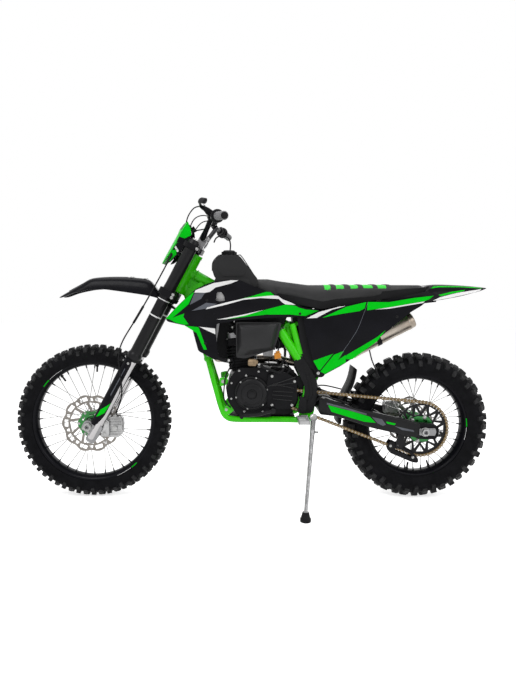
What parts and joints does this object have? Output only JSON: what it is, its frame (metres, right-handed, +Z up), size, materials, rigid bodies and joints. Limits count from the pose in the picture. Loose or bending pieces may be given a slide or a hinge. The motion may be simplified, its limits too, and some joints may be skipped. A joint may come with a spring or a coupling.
{
  "type": "dirt bike",
  "caption": "Off-road motorcycle with two spoked knobby wheels, long-travel fork, steel frame, single engine, chain drive and a side stand that it leans on.",
  "frame": {"origin": "on the floor, under the middle of the whole bike's box as it leans on its side stand", "axes": "+X to the rear along the wheelbase, +Y to the bike's right side, +Z up; the bike leans 3 degrees towards -Y"},
  "size_m": [2.164, 0.8051, 1.3107],
  "materials": {
    "green_paint": "gloss",
    "black_metal": "satin",
    "black_plastic": "gloss",
    "matt_plastic": "matt",
    "green_plastic": "gloss",
    "seat_cover": "matt",
    "rubber": "matt",
    "tyre_rubber": "matt",
    "steel": "brushed",
    "chrome": "polished",
    "alloy": "satin",
    "chain_gold": "satin"
  },
  "bodies": {
    "chassis": {"main_frame": "green_paint", "engine": "black_metal", "engine_covers": "black_metal", "sprocket_cover": "black_metal", "exhaust_header": "steel", "muffler": "steel", "radiators": "alloy", "fuel_tank": "matt_plastic", "tank_cap": "matt_plastic", "breather_hose": "rubber", "seat": "seat_cover", "left_shroud": "green_plastic", "right_shroud": "green_plastic", "air_box": "matt_plastic", "left_side_panel": "black_plastic", "right_side_panel": "black_plastic", "rear_fender": "black_plastic", "rear_mudguard": "matt_plastic", "swingarm": "black_metal", "shock_absorber": "steel", "chain": "chain_gold", "chain_guide": "matt_plastic", "frame_guards": "matt_plastic", "footpegs": "steel", "foot_controls": "alloy", "rear_caliper": "alloy", "rear_axle": "steel"},
    "fork": {"triple_clamps": "black_metal", "fork_upper_tubes": "black_metal", "fork_lower_tubes": "chrome", "fork_guards": "black_plastic", "front_axle": "steel", "front_caliper": "alloy", "front_fender": "black_plastic", "number_plate": "green_plastic", "handlebar": "black_metal", "grips": "rubber", "hand_levers": "alloy", "front_brake_hose": "rubber"},
    "front_wheel": {"front_tyre": "tyre_rubber", "front_rim": "black_metal", "front_spokes": "steel", "front_hub": "green_paint", "front_disc": "steel"},
    "rear_wheel": {"rear_tyre": "tyre_rubber", "rear_rim": "black_metal", "rear_spokes": "steel", "rear_hub": "green_paint", "rear_sprocket": "black_metal", "rear_disc": "steel"},
    "stand": {"side_stand": "chrome", "stand_foot": "rubber"}
  },
  "joints": [
    {"name": "steering", "type": "hinge", "parent": "chassis", "child": "fork", "pos_m": [-0.68154, 0.04753, 0.3194], "axis": [0.454, -0.0466, 0.8898], "range_deg": [-40, 40]},
    {"name": "front_wheel_spin", "type": "hinge", "parent": "fork", "child": "front_wheel", "pos_m": [-0.735, 0.04611, 0.3466], "axis": [0, 0.9986, 0.0523], "continuous": true},
    {"name": "rear_wheel_spin", "type": "hinge", "parent": "chassis", "child": "rear_wheel", "pos_m": [0.745, 0.04663, 0.33662], "axis": [0, 0.9986, 0.0523], "continuous": true},
    {"name": "side_stand_fold", "type": "hinge", "parent": "chassis", "child": "stand", "pos_m": [0.245, -0.10856, 0.39357], "axis": [-0.147, -0.9289, 0.3398], "range_deg": [0, 104]}
  ]
}
